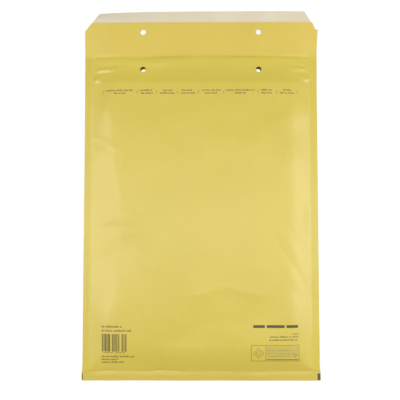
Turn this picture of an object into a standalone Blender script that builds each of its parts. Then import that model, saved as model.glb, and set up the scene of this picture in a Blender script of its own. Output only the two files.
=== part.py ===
"""Padded envelope of kraft paper with a bubble film lining.

It lies on its back with the flap open and flat, still empty, as it comes from the pack. X runs
across the envelope, Y from its bottom towards the flap and Z up. The origin is in the middle of
the outline, on the surface that the envelope lies on. All lengths are in metres.
"""
import math

import bmesh
import bpy

# The kraft envelope
envelope_width = 0.250
envelope_length = 0.350  # bottom edge to fold line
flap_length = 0.031  # fold line to the flap's edge
mouth_setback = 0.0064  # fold line down to the top edge of the rear panel
paper_thickness = 0.0002
side_seam_width = 0.008
bottom_seam_width = 0.0115

# The flap's corners: a cut across each, and a narrow step on the right-hand side
left_cut_across = 0.0074
left_cut_along = 0.0093
right_cut_across = 0.0036
right_cut_along = 0.0075
right_step = 0.0025

# The punched holes: the flap is folded shut for punching, so the rows lie alike about the fold line
hole_diameter = 0.006
hole_spacing = 0.124
hole_to_flap_edge = 0.0106  # the flap's edge to the middle of the holes that go through it

# The bubble film lining
film_thickness = 0.0032
pocket_gap = 0.0049  # between the two layers of film, in the middle of the envelope
lining_setback = 0.0345  # fold line down to the lining's top edge
lining_inset = 0.003  # seam to the lining's side and bottom edges
least_pocket_gap = 0.0005  # the pocket's height where it closes towards a seam
squeeze_run = 0.030  # stretch over which the padding thins towards a seam
corner_sharpness = 4  # higher values make the padding's corners squarer

# The closing strip on the flap's inner face
adhesive_width = 0.014
adhesive_thickness = 0.00015
adhesive_edge = 0.0015  # flap's edge to the adhesive
adhesive_end = 0.004  # liner's end to the adhesive's end
liner_overhang = 0.0125  # beyond the flap's edge, for the fingers
liner_cover = 0.018  # behind the flap's edge
liner_thickness = 0.00015
liner_margin = 0.001  # the flap's cut corner to the liner's end
liner_cut_across = 0.0066
liner_cut_along = 0.0100

# How it lies
seam_height = 0.005  # the plane of the sealed seams above the surface
mouth_height = 0.0088  # the front panel's top in the middle of the mouth
tip_height = 0.0094  # the open flap at its far end
shoulder_drop = 3  # higher values let the front panel down sooner past the lining's edge
clearance = 0.0003  # between pieces that touch

# Fineness of the sheets
rim_steps = 7
plain_step = 0.045  # between rows where the sheet is flat
shoulder_steps = 4
hole_sides = 32
nearest_line = 0.0008  # lines of a sheet closer than this to its edge are left out

half_width = envelope_width / 2
outline_length = envelope_length + flap_length + liner_overhang
bottom_edge = -outline_length / 2
fold_line = bottom_edge + envelope_length
mouth_edge = fold_line - mouth_setback
lining_edge = fold_line - lining_setback
flap_edge = fold_line + flap_length
liner_edge = flap_edge + liner_overhang
hole_to_fold = flap_length - hole_to_flap_edge

seam_side = half_width - side_seam_width
seam_bottom = bottom_edge + bottom_seam_width
top_height = 2 * (paper_thickness + clearance + film_thickness) + pocket_gap


def linear(hex_colour):
    """The linear colour of an sRGB hex value."""
    shares = [int(hex_colour[i:i + 2], 16) / 255 for i in (0, 2, 4)]
    return [s / 12.92 if s <= 0.04045 else ((s + 0.055) / 1.055) ** 2.4 for s in shares] + [1.0]


def swell(distance):
    """How far the padding has opened, 0 to 1, at a distance in from a seam."""
    return math.sin(math.pi / 2 * min(max(distance / squeeze_run, 0.0), 1.0))


def body_swell(x, y):
    """The swell at a place, from its distances to the side seam and the bottom seam together."""
    from_side = seam_side - abs(x)
    from_bottom = y - seam_bottom
    if min(from_side, from_bottom) <= 0:
        return 0.0
    power = -corner_sharpness
    return swell((from_side ** power + from_bottom ** power) ** (1 / power))


def front_middle(x, y):
    """Height of the middle of the front panel's paper; past the mouth it is the flap's."""
    full = top_height - paper_thickness / 2 - seam_height
    at_mouth = mouth_height - paper_thickness / 2 - seam_height
    at_tip = tip_height - paper_thickness / 2 - seam_height
    if y <= lining_edge:
        return seam_height + full * body_swell(x, y)
    if y <= mouth_edge:
        share = (y - lining_edge) / (mouth_edge - lining_edge)
        above_mouth = (full - at_mouth) * (1 - share) ** shoulder_drop
        return seam_height + (at_mouth + above_mouth) * body_swell(x, y)
    share = (y - mouth_edge) / (liner_edge - mouth_edge)
    return seam_height + at_mouth * body_swell(x, y) * (1 - share) + at_tip * share


def rear_middle(x, y):
    """Height of the middle of the rear panel's paper, which lies flat inside its rim."""
    return seam_height - (seam_height - paper_thickness / 2) * body_swell(x, y)


def lining_top(x, y):
    return front_middle(x, min(y, lining_edge)) - paper_thickness / 2 - clearance


def lining_under(x, y):
    return rear_middle(x, min(y, lining_edge)) + paper_thickness / 2 + clearance


def pocket_top(x, y):
    middle = (lining_top(x, y) + lining_under(x, y)) / 2
    return max(lining_top(x, y) - film_thickness, middle + least_pocket_gap / 2)


def pocket_under(x, y):
    middle = (lining_top(x, y) + lining_under(x, y)) / 2
    return min(lining_under(x, y) + film_thickness, middle - least_pocket_gap / 2)


def adhesive_top(x, y):
    return front_middle(x, y) - paper_thickness / 2 - clearance


def liner_top(x, y):
    return adhesive_top(x, y) - adhesive_thickness - clearance


def spread(start, end, steps):
    """Evenly spaced values after start, up to and with end."""
    return [start + (end - start) * (i + 1) / steps for i in range(steps)]


def rim_stations():
    """Distances in from a seam, close together where the sheet curves most."""
    return [squeeze_run * (i / rim_steps) ** 1.4 for i in range(rim_steps + 1)]


def columns_across():
    """Lines along a sheet: its edges, the rims beside the seams and the sides of the holes."""
    rim = [seam_side - u for u in rim_stations()]
    beside_holes = [hole_spacing / 2 + hole_diameter, hole_spacing / 2 - hole_diameter]
    right = [half_width] + rim + beside_holes
    return [-x for x in right] + [0.0] + right[::-1]


def rows_along():
    """Lines across a sheet, from the bottom edge to the liner's far edge."""
    rim = [seam_bottom + u for u in rim_stations()]
    plain = spread(rim[-1], lining_edge, round((lining_edge - rim[-1]) / plain_step))
    shoulder = spread(lining_edge, mouth_edge, shoulder_steps)
    flap_hole = fold_line + hole_to_fold
    flap = [fold_line, flap_hole - hole_diameter, flap_hole + hole_diameter, flap_edge, liner_edge]
    return [bottom_edge] + rim + plain + shoulder + flap


def between(lines, low, high):
    """The lines between two ends, with the ends added."""
    inside = [v for v in lines if low + nearest_line < v < high - nearest_line]
    return [low] + inside + [high]


def add_object(name, mesh_edit, collection):
    mesh = bpy.data.meshes.new(name)
    mesh_edit.to_mesh(mesh)
    mesh_edit.free()
    piece = bpy.data.objects.new(name, mesh)
    collection.objects.link(piece)
    return piece


def grid(columns, rows, height):
    """A surface over the given columns and rows, at a height that follows x and y."""
    mesh_edit = bmesh.new()
    across = len(columns) - 1
    along = len(rows) - 1
    bmesh.ops.create_grid(mesh_edit, x_segments=across, y_segments=along, size=1.0)
    for vert in mesh_edit.verts:
        vert.co.x = columns[round((vert.co.x + 1) / 2 * across)]
        vert.co.y = rows[round((vert.co.y + 1) / 2 * along)]
        vert.co.z = height(vert.co.x, vert.co.y)
    return mesh_edit


def thicken(piece, thickness, mode):
    shell = piece.modifiers.new("thickness", "SOLIDIFY")
    shell.solidify_mode = mode
    shell.thickness = thickness
    return shell


def strip(name, columns, rows, height, thickness):
    """A thin strip whose top face is at the given height."""
    mesh_edit = grid(columns, rows, height)
    bmesh.ops.triangulate(mesh_edit, faces=mesh_edit.faces[:])
    piece = add_object(name, mesh_edit, parts)
    shell = thicken(piece, thickness, "EXTRUDE")
    shell.offset = -1
    shell.use_even_offset = True
    return piece


def pillow(name, collection, columns, rows, upper, lower):
    """A closed solid between two heights that both follow x and y."""
    mesh_edit = grid(columns, rows, lambda x, y: 0.0)
    bmesh.ops.solidify(mesh_edit, geom=mesh_edit.faces[:], thickness=1.0)
    top_plane = max(vert.co.z for vert in mesh_edit.verts)
    for vert in mesh_edit.verts:
        height = upper if abs(vert.co.z - top_plane) < 0.5 else lower
        vert.co.z = height(vert.co.x, vert.co.y)
    bmesh.ops.triangulate(mesh_edit, faces=mesh_edit.faces[:])
    if mesh_edit.calc_volume(signed=True) < 0:
        bmesh.ops.reverse_faces(mesh_edit, faces=mesh_edit.faces[:])
    return add_object(name, mesh_edit, collection)


def box_cutter(name, low, high):
    mesh_edit = bmesh.new()
    bmesh.ops.create_cube(mesh_edit, size=1.0)
    for vert in mesh_edit.verts:
        for axis in range(3):
            vert.co[axis] = low[axis] if vert.co[axis] < 0 else high[axis]
    return add_object(name, mesh_edit, cutters)


def corner_cutter(name, start, end):
    """A block whose face runs from start to end; the block lies to the left of that line."""
    size = 0.05
    along_x, along_y = end[0] - start[0], end[1] - start[1]
    length = math.hypot(along_x, along_y)
    mesh_edit = bmesh.new()
    bmesh.ops.create_cube(mesh_edit, size=size)
    block = add_object(name, mesh_edit, cutters)
    block.location.x = (start[0] + end[0]) / 2 - along_y / length * size / 2
    block.location.y = (start[1] + end[1]) / 2 + along_x / length * size / 2
    block.location.z = seam_height
    block.rotation_euler.z = math.atan2(along_y, along_x)
    return block


def hole_cutters(row, y):
    """The two punches of one row, long enough to go through both panels."""
    punches = []
    for side_name, x in (("left", -hole_spacing / 2), ("right", hole_spacing / 2)):
        mesh_edit = bmesh.new()
        bmesh.ops.create_cone(
            mesh_edit, cap_ends=True, segments=hole_sides, radius1=hole_diameter / 2,
            radius2=hole_diameter / 2, depth=4 * top_height)
        punch = add_object(row + "_" + side_name + "_hole", mesh_edit, cutters)
        punch.location = (x, y, top_height)
        punches.append(punch)
    return punches


def combine(piece, other, operation):
    joint = piece.modifiers.new(other.name, "BOOLEAN")
    joint.operation = operation
    joint.object = other
    joint.solver = "EXACT"
    other.hide_render = True
    other.display_type = "WIRE"


def finish(piece, colour, roughness, transmission=0.0):
    material = bpy.data.materials.new(piece.name)
    material.use_nodes = True
    shader = material.node_tree.nodes["Principled BSDF"]
    shader.inputs["Base Color"].default_value = linear(colour)
    shader.inputs["Roughness"].default_value = roughness
    shader.inputs["Metallic"].default_value = 0.0
    shader.inputs["Transmission Weight"].default_value = transmission
    piece.data.materials.append(material)


def kraft_envelope(punches):
    """One surface that parts into front and rear panel along the seams, given the paper's thickness."""
    mesh_edit = grid(columns_across(), between(rows_along(), bottom_edge, flap_edge), front_middle)
    rear = grid(between(columns_across(), -seam_side, seam_side),
                between(rows_along(), seam_bottom, mouth_edge), rear_middle)
    rear_mesh = bpy.data.meshes.new("rear_panel")
    rear.to_mesh(rear_mesh)
    rear.free()
    mesh_edit.from_mesh(rear_mesh)
    bmesh.ops.remove_doubles(mesh_edit, verts=mesh_edit.verts[:], dist=paper_thickness / 10)
    bmesh.ops.triangulate(mesh_edit, faces=mesh_edit.faces[:])
    envelope = add_object("kraft_envelope", mesh_edit, parts)
    shell = thicken(envelope, paper_thickness, "NON_MANIFOLD")
    shell.nonmanifold_thickness_mode = "CONSTRAINTS"
    shell.offset = 0

    left = -half_width
    corner = corner_cutter("left_corner", (left, flap_edge - left_cut_along),
                           (left + left_cut_across, flap_edge))
    combine(envelope, corner, "DIFFERENCE")
    right = half_width - right_step
    shoulder = flap_edge - right_cut_along
    overshoot = 0.01
    step = box_cutter("right_step", (right, shoulder, 0.0),
                      (half_width + overshoot, flap_edge + overshoot, 2 * top_height))
    combine(envelope, step, "DIFFERENCE")
    corner = corner_cutter("right_corner", (right - right_cut_across, flap_edge), (right, shoulder))
    combine(envelope, corner, "DIFFERENCE")

    for punch in punches:
        combine(envelope, punch, "DIFFERENCE")
    finish(envelope, "DFCF6A", 0.5)


def bubble_lining():
    """A sleeve of two layers of bubble film, sealed together at the sides and the bottom."""
    side = seam_side - lining_inset
    foot = seam_bottom + lining_inset
    lining = pillow("bubble_lining", parts, between(columns_across(), -side, side),
                    between(rows_along(), foot, lining_edge), lining_top, lining_under)

    # The pocket starts where the space between the panels takes both layers and the least gap
    needed = 2 * (film_thickness + clearance) + paper_thickness + least_pocket_gap
    share = needed / (top_height - paper_thickness)
    rim = squeeze_run * math.asin(min(share, 1.0)) / (math.pi / 2)
    overshoot = 0.01
    columns = between(columns_across(), rim - seam_side, seam_side - rim)
    rows = between(rows_along(), seam_bottom + rim, lining_edge + overshoot)
    pocket = pillow("pocket", cutters, columns, [y for y in rows if abs(y - lining_edge) > nearest_line],
                    pocket_top, pocket_under)
    combine(lining, pocket, "DIFFERENCE")
    finish(lining, "E9ECEA", 0.25, 0.6)


def closing_strip(punches):
    """The adhesive on the flap's inner face, and the release liner that covers it."""
    left = -half_width + left_cut_across + liner_margin
    right = half_width - right_step - right_cut_across - liner_margin
    top = flap_edge - adhesive_edge
    columns = between(columns_across(), left + adhesive_end, right - adhesive_end)
    adhesive = strip("adhesive_strip", columns, between(rows_along(), top - adhesive_width, top),
                     adhesive_top, adhesive_thickness)
    liner = strip("release_liner", between(columns_across(), left, right),
                  between(rows_along(), flap_edge - liner_cover, liner_edge), liner_top, liner_thickness)
    shoulder = liner_edge - liner_cut_along
    corner = corner_cutter("liner_left_corner", (left, shoulder), (left + liner_cut_across, liner_edge))
    combine(liner, corner, "DIFFERENCE")
    corner = corner_cutter("liner_right_corner", (right - liner_cut_across, liner_edge), (right, shoulder))
    combine(liner, corner, "DIFFERENCE")
    for punch in punches:
        combine(adhesive, punch, "DIFFERENCE")
        combine(liner, punch, "DIFFERENCE")
    finish(adhesive, "E8E0BE", 0.3)
    finish(liner, "DFD4B9", 0.4)


for old in list(bpy.data.objects):
    bpy.data.objects.remove(old, do_unlink=True)
parts = bpy.data.collections.new("padded_envelope")
cutters = bpy.data.collections.new("cutters")
for group in (parts, cutters):
    bpy.context.scene.collection.children.link(group)

flap_punches = hole_cutters("upper", fold_line + hole_to_fold)
body_punches = hole_cutters("lower", fold_line - hole_to_fold)
kraft_envelope(flap_punches + body_punches)
bubble_lining()
closing_strip(flap_punches)
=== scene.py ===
# %% [markdown]
# A padded envelope, lying open and empty
#
# The object is a bag of thin kraft paper with bubble film inside it. This script dresses the
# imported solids: every solid is replaced by a finer mesh that keeps its place and its size, and
# carries the creases, dents and print that a real envelope has. Each step has a short text cell
# like this one, then the code. All lengths are in metres, and `mm` turns millimetres into them.

import math
import random

import bmesh
import bpy
import numpy as np
from mathutils import Matrix, Vector


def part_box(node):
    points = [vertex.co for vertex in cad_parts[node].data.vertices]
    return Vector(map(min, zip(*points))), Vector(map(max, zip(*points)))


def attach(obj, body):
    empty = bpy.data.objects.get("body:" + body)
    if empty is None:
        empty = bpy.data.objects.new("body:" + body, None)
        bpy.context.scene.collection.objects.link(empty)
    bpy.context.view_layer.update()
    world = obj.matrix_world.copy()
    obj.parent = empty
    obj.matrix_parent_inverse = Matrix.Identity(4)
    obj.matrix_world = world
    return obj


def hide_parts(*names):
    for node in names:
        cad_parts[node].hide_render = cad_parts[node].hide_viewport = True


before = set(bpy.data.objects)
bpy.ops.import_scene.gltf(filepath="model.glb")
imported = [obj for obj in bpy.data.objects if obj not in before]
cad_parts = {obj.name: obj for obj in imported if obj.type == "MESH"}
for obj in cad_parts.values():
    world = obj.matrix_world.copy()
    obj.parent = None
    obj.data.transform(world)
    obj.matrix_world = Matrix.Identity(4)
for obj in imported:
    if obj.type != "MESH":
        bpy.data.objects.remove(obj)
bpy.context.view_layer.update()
mm = 0.001
print("solids:", sorted(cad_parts))

# %% [markdown]
# Sizes
#
# The looks have to fit the solids. One could type every size again, but then a change in the solids
# would leave the looks behind. What it can't tell, such as the width of a sealed seam, is named
# once, where it is first needed.

# %% Sizes read from the frame
kraft_low, kraft_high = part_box("kraft_envelope")
film_low, film_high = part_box("bubble_lining")
glue_low, glue_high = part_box("adhesive_strip")
liner_low, liner_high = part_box("release_liner")

half_width = kraft_high.x
bottom_edge = kraft_low.y
flap_edge = kraft_high.y
top_height = kraft_high.z
lining_edge = film_high.y
overhang = liner_high.y - flap_edge
print("liner past the flap's edge, mm:", round(overhang / mm, 1))

# %% Seams, fold and heights that the frame can't tell
paper = 0.2 * mm
fold_line = bottom_edge + 350 * mm
mouth_edge = fold_line - 6.4 * mm
seam_side = half_width - 8 * mm
seam_bottom = bottom_edge + 11.5 * mm
seam_height = 5 * mm
mouth_height = 8.8 * mm
tip_height = 9.4 * mm
print("body, mm:", round(2 * half_width / mm), "x", round((fold_line - bottom_edge) / mm))

# %% [markdown]
# How far the padding opens
#
# Where front and rear are sealed the envelope is thin, and the padding lifts them away from there.
# A cloth simulation could blow the bag up, but its folds would fall anew after every change. A
# formula is steadier, and the solids can share it: from each seam the paper rises in a quarter of
# a sine wave, and in a bottom corner the two rises blend into a round one. On the left, where the
# padding is slack, the rise is a straight slope. NumPy works out all the points of a mesh at once,
# so this function and the next ones take whole arrays.

# %% Swell of the padding
# Where the rise ends, measured from the left seam: it reaches far in at a slack patch half-way down
left_run_y = np.array([-160, -118, -96, -80, -66, -50, -36, -22, 3, 35, 67, 130]) * mm
left_run = np.array([26, 26, 30, 40, 54, 58, 48, 38, 33, 27, 23, 24]) * mm
right_run = 31 * mm
squeeze_run = 25 * mm
corner_sharpness = 4
slack_slope = 1.08
knee_sharpness = 8
least_distance = 1e-6


def side_run(x, y):
    """Stretch over which the padding thins towards a side. Its end wanders by up to 3.5 mm."""
    uneven = 2 * mm * np.sin(y / (17 * mm)) + 1.5 * mm * np.sin(y / (9 * mm) + 1)
    return np.where(np.asarray(x) < 0, np.interp(y, left_run_y, left_run), right_run) + uneven


def body_swell(x, y):
    """How far the padding has opened, 0 to 1, from the distances to the side and bottom seams."""
    from_side = np.maximum(seam_side - np.abs(x), least_distance) / side_run(x, y)
    from_bottom = np.maximum(y - seam_bottom, least_distance) / squeeze_run
    power = -corner_sharpness
    nearest = (from_side ** power + from_bottom ** power) ** (1 / power)
    round_rise = np.sin(np.pi / 2 * np.clip(nearest, 0, 1))
    slope = slack_slope * nearest
    straight_rise = slope / (1 + slope ** knee_sharpness) ** (1 / knee_sharpness)
    slack = np.clip((-x - 30 * mm) / (40 * mm), 0, 1)
    inside = (np.abs(x) < seam_side - least_distance) & (y > seam_bottom + least_distance)
    return np.where(inside, round_rise + (straight_rise - round_rise) * slack, 0)


print("swell 10 mm in from the right seam:", round(float(body_swell(seam_side - 10 * mm, 0.0)), 2))

# %% [markdown]
# Height along the envelope
#
# Past the lining's edge nothing holds the front up: it drops to the mouth, and then runs out into
# the flap, which stands free of the table. A curve could be drawn by hand, but a short formula
# follows the solids. It gives one line from the bottom to the tip of the flap, the height of the
# front in its middle, and since paper turns no sharp corner there, the line is softened. The whole
# front is that line times the swell. The rear is flat on the table but for its seams.

# %% Heights of the front and rear paper
shoulder_drop = 2.5
line_step = 0.25 * mm
shoulder_reach = 1.5 * mm


def softened(line_y, line_z, reach):
    """The heights along a line with their corners rounded over a reach, as paper does it."""
    step = line_y[1] - line_y[0]
    offsets = np.arange(-3 * reach, 3 * reach + step, step)
    weights = np.exp(-(offsets / reach) ** 2)
    padded = np.pad(line_z, len(offsets) // 2, mode="edge")
    return np.convolve(padded, weights / weights.sum(), mode="valid")[:len(line_z)]


full_rise, mouth_rise, tip_rise = (
    height - paper / 2 - seam_height for height in (top_height, mouth_height, tip_height))
line_y = np.arange(bottom_edge, liner_high.y + 1 * mm, line_step)
past_lining = np.clip((line_y - lining_edge) / (mouth_edge - lining_edge), 0, 1)
line_rise = mouth_rise + (full_rise - mouth_rise) * (1 - past_lining) ** shoulder_drop
line_rise = softened(line_y, line_rise, shoulder_reach)


def plain_front(x, y):
    """Height of the middle of the front paper, before any crease or dent."""
    along_flap = np.clip((y - mouth_edge) / (liner_high.y - mouth_edge), 0, 1)
    body = np.interp(y, line_y, line_rise) * body_swell(x, y)
    return seam_height + body * (1 - along_flap) + tip_rise * along_flap


def plain_rear(x, y):
    """Height of the middle of the rear paper."""
    return seam_height - (seam_height - paper / 2) * body_swell(x, y)


print("front above the floor at the mouth, mm:", round(float(plain_front(0.0, mouth_edge)) / mm, 2))

# %% [markdown]
# Shapes for creases, dents and hills
#
# Even shading gives a paper bag away at once: real kraft has creases, dents and broad low hills.
# They could be sculpted by hand, but then no size would have a name. Three small functions make all
# of them instead. A ridge follows a line and fades at its ends, and its two flanks may differ,
# because a crease is mostly steep on one side. A hill is round or oval. Either is a groove or a
# hollow where its height is negative. Crumple adds a faint unevenness everywhere.

# %% Ridge, hill and crumple
def ridge(x, y, start, end, widths, height):
    """A ridge along a line. Its widths are those of the flanks on the left and on the right."""
    run_x, run_y = end[0] - start[0], end[1] - start[1]
    length = math.hypot(run_x, run_y)
    along = ((x - start[0]) * run_x + (y - start[1]) * run_y) / length
    across = ((y - start[1]) * run_x - (x - start[0]) * run_y) / length
    beyond = np.maximum(-along, 0) + np.maximum(along - length, 0)
    width = np.where(across > 0, widths[0], widths[1])
    return height * np.exp(-(across / width) ** 2 - (beyond / (2 * sum(widths))) ** 2)


def hill(x, y, centre, reach, height):
    """A round or oval hill, with its reach along X and along Y."""
    from_centre = ((x - centre[0]) / reach[0]) ** 2 + ((y - centre[1]) / reach[1]) ** 2
    return height * np.exp(-from_centre)


def crumple(x, y, wavelength, height, seed):
    """A faint unevenness: waves of about one length in all directions, the same on each run."""
    dice = random.Random(seed)
    total = np.zeros_like(x)
    waves = 24
    for _ in range(waves):
        angle = dice.uniform(0, math.tau)
        length = wavelength * dice.uniform(0.7, 1.5)
        phase = dice.uniform(0, math.tau)
        total += np.sin((x * math.cos(angle) + y * math.sin(angle)) * math.tau / length + phase)
    return total * height / math.sqrt(waves / 2)


# %% [markdown]
# The creases, one by one
#
# The longest crease crosses the envelope where the rear panel's top edge lies under the front. Next
# to the lower holes the paper is pulled towards the seams, and on the body it has a few wrinkles.
# These are too few and too different for a pattern, so they stand in a list. All its numbers are
# millimetres, and each row is one crease that a hand could point at.

# %% Ridges and grooves of the front
# Start, end, widths of the left and right flank, and height
ridges = [
    # The crease over the rear panel's top edge: steep towards the flap, gentle towards the body
    ((-118, 144.8), (-97, 144.7), (0.9, 7.0), 0.26),
    ((-97, 144.7), (-46, 144.2), (0.9, 9.0), 0.40),
    ((-46, 144.5), (-30, 146.0), (0.9, 9.0), 0.52),
    ((-30, 146.0), (45, 146.2), (0.8, 10.0), 0.56),
    ((45, 146.2), (85, 145.2), (0.8, 9.0), 0.38),
    ((85, 145.2), (119, 145.6), (0.9, 7.0), 0.30),
    ((-108, 150.6), (-62, 150.4), (1.3, 2.4), 0.24),
    ((60, 151.4), (86, 150.6), (1.3, 2.6), 0.14),
    ((86, 150.6), (112, 150.6), (1.3, 2.6), 0.30),
    ((-74, 141.6), (-46, 141.0), (3.2, 6.0), 0.26),
    # Streaks beside the lower holes, where the paper is pulled towards the seams
    ((-110.5, 133.4), (-101, 133.4), (0.9, 2.3), 0.98),
    ((-101, 133.4), (-88, 135.0), (1.0, 2.4), 0.60),
    ((101, 134.8), (117, 134.2), (0.9, 2.4), 0.76),
    ((112, 138.6), (121, 137.6), (1.0, 1.8), 0.26),
    ((-72, 140.2), (-20, 138.8), (1.6, 1.6), 0.08),
    ((10, 134.0), (50, 135.5), (1.8, 1.8), -0.10),
    # Wrinkles of the body
    ((-113, 55), (-91, 41), (1.6, 1.6), -0.26),
    ((-110, 60), (-93, 49), (2.4, 2.4), 0.34),
    ((-113, -39), (-101, -35), (1.8, 4.4), -0.30),
    ((-101, -35), (-84, -34), (1.8, 5.0), -0.26),
    ((-97, 66), (-90, 30), (2.0, 9.0), 0.12),
    ((-90, 30), (-82, -4), (2.0, 9.0), 0.12),
    ((-82, -4), (-66, -28), (2.0, 8.0), 0.12),
    ((-66, -28), (-46, -46), (2.0, 9.0), 0.12),
    ((-46, -46), (-42, -76), (3.0, 9.0), 0.12),
    ((-42, -76), (-54, -98), (4.0, 9.0), 0.16),
    ((-50, 78), (-46, 70), (1.6, 1.6), 0.16),
    ((95, 22), (112, 15), (2.4, 2.4), 0.30),
    ((84, -56), (112, -98), (2.0, 4.0), -0.40),
    ((86, -44), (112, -80), (5.0, 3.0), 0.36),
    ((106, -24), (109, -52), (1.6, 1.6), 0.26),
    ((-6, -106), (26, -99), (3.0, 5.0), 0.22),
    ((26, -99), (62, -106), (3.0, 5.0), 0.22),
]
print("ridges and grooves:", len(ridges))

# %% [markdown]
# The hills and hollows
#
# The lining's two upper corners press through as small round bumps that catch the light. On the body
# the padding is fuller in one place and slack in another, which makes the broad changes of the
# sheen. Painting those as lighter and darker colour would be quicker, but they would stay where they
# are when the light or the view changes. Real hills, most of them less than a millimetre high, give
# the right sheen from everywhere.

# %% Hills and hollows of the front
# Centre, reach along X and Y, and height
hills = [
    # The lining's two corners, which press through as bumps
    ((-112.2, 122.8), (3.2, 3.0), 2.70),
    ((113.8, 124.0), (2.8, 3.4), 3.00),
    # Small dents of the flap
    ((-94, 176), (3, 4), -0.24),
    ((-84, 168), (5, 3), -0.26),
    ((-78, 162), (3, 2.4), -0.20),
    ((25, 160), (16, 7), 0.28),
    # Broad hills and hollows of the body, where the padding is fuller or slack
    ((10, -20), (80, 95), 0.80),
    ((-60, -40), (22, 34), 0.45),
    ((-78, -72), (22, 20), -0.75),
    ((60, 60), (40, 50), 0.35),
    ((-8, -150), (34, 24), -0.70),
    ((44, -128), (34, 18), -0.36),
    ((-84, -120), (18, 30), 0.30),
    ((88, -150), (18, 30), 0.35),
    ((-60, 92), (26, 10), -0.10),
    ((70, 94), (28, 10), -0.08),
]
print("hills and hollows:", len(hills))

# %% [markdown]
# Bubbles that press through
#
# Under a soft light the round tops of the bubbles show as fine dimples in the paper. They repeat
# evenly in staggered rows, so no list is needed: each point finds its nearest place in the rows and
# rises by how near it is. The film's own bubbles stand on the same places further down. Goods press
# some bubbles harder than others, so a sine of the place varies the height without a random draw.

# %% Dimples over the bubbles
bubble_pitch = 11.0
bubble_row_pitch = bubble_pitch * math.sqrt(3) / 2
dimple_reach = 3.6
dimple_height = 0.055


def bubble_bumps(x, y):
    """The round tops of the bubbles, 0 to 1, from x and y in millimetres."""
    row = np.round(y / bubble_row_pitch)
    shift = np.where(row % 2 == 0, 0.0, bubble_pitch / 2)
    column = np.round((x - shift) / bubble_pitch)
    from_x = x - (column * bubble_pitch + shift)
    from_y = y - row * bubble_row_pitch
    pressed = 0.5 + 0.5 * np.sin(column * 12.9898 + row * 78.233)
    return pressed * np.exp(-(from_x ** 2 + from_y ** 2) / dimple_reach ** 2)


def relief(x, y):
    """Height added to the plain front. Paper that is sealed can't lift, so it fades at the seams."""
    x_mm, y_mm = x / mm, y / mm
    held = np.clip(body_swell(x, y) * 2.5, 0, 1)
    on_flap = np.clip((y - mouth_edge) / (10 * mm), 0, 1)
    over_film = held * (y < lining_edge - 6 * mm)
    total = np.zeros_like(x_mm)
    for start, end, widths, height in ridges:
        total += ridge(x_mm, y_mm, start, end, widths, height)
    for centre, reach, height in hills:
        total += hill(x_mm, y_mm, centre, reach, height)
    total += crumple(x_mm, y_mm, 46, 0.11, seed=3)
    total += crumple(x_mm, y_mm, 17, 0.036, seed=5)
    total = total * np.maximum(held, on_flap)
    total += over_film * bubble_bumps(x_mm, y_mm) * dimple_height
    return total * mm


middle = np.array([0.0])
print("relief in the middle of the body, mm:", round(float(relief(middle, middle)[0] / mm), 2))

# %% [markdown]
# The sealed bands
#
# The heat of the sealing bars leaves the bands wavy: puckers run across the sides, a groove lies
# where the padding ends at the bottom, and the right band hangs a little towards its cut edge.
# Front and rear are one there, so both take the same wave, and their points can be welded. A
# displacement texture would be simpler, but it would move the two sheets apart.

# %% Waves of the seams
# The bottom groove: start, end, widths of the body side and the edge side, and height
bottom_grooves = [
    ((-114, -187.6), (-100, -186.6), (1.2, 1.7), -0.46),
    ((-100, -186.6), (-56, -187.2), (1.2, 1.7), -0.48),
    ((-56, -187.2), (-40, -186.1), (1.3, 1.7), -0.40),
    ((-40, -186.1), (-26, -187.0), (1.3, 1.7), -0.40),
    ((-26, -187.0), (62, -187.4), (1.3, 1.7), -0.42),
    ((62, -187.4), (113, -186.8), (1.2, 1.7), -0.48),
]
left_puckers = (-96, -62, -14, 31, 58, 96)
right_puckers = (-118, -104, -40, 4, 47, 84)
right_hang = 0.36


def seam_wave(x, y):
    """Height added to the sealed bands, on front and rear alike."""
    x_mm, y_mm = x / mm, y / mm
    total = crumple(x_mm, y_mm, 60, 0.16, seed=11)
    for start, end, widths, height in bottom_grooves:
        total += ridge(x_mm, y_mm, start, end, widths, height)
    for place in left_puckers:
        total += ridge(x_mm, y_mm, (-126, place), (-113, place + 0.6), (1.2, 1.6), 0.24)
    for place in right_puckers:
        total += ridge(x_mm, y_mm, (113, place), (126, place + 1.5), (1.4, 1.4), 0.20)
    total -= right_hang * np.clip((x_mm - 117) / 8, 0, 1)
    near_seam = 1 - np.clip(body_swell(x, y), 0, 1)
    return total * near_seam * np.where(y > mouth_edge, 0.5, 1.0) * mm


def front_height(x, y):
    return plain_front(x, y) + relief(x, y) + seam_wave(x, y)


def rear_height(x, y):
    return plain_rear(x, y) + seam_wave(x, y) * (1 - body_swell(x, y))


print("puckers of the side bands:", len(left_puckers) + len(right_puckers))

# %% [markdown]
# The cut sides
#
# The cut edges aren't quite straight either. The padding takes up some of the width, so the body is
# over a millimetre narrower than the flat bands below and above it. This moves points along X alone,
# so it is a third small formula next to the two for the heights.

# %% Sides of the outline
bottom_flare = 0.45 * mm
flap_flare = 1.1 * mm
waist = 0.25 * mm


def drawn_in(x, y):
    """The filled body pulls its sides in a little; the flat bands above and below stay wide."""
    wide = bottom_flare * (y < seam_bottom - 1 * mm)
    wide = wide + flap_flare * np.clip((y - 155 * mm) / (22 * mm), 0, 1) * (x > 0)
    body = -waist * np.clip((140 * mm - y) / (40 * mm), 0, 1) * (y > seam_bottom + 3 * mm)
    return x + (wide + body) * x / half_width


print("width half-way down, mm:", round(2 * float(drawn_in(half_width, 0.0)) / mm, 1))

# %% [markdown]
# A grid for each sheet
#
# A sheet of paper could be one big face that is cut up until it bends. A grid is easier to keep
# even, and it is smooth when it is shaded. Its lines are 2 to 3 mm apart, and closer beside a crease
# or a hole, where the paper turns faster. The grid is laid flat first, and lifted at the very end.

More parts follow.
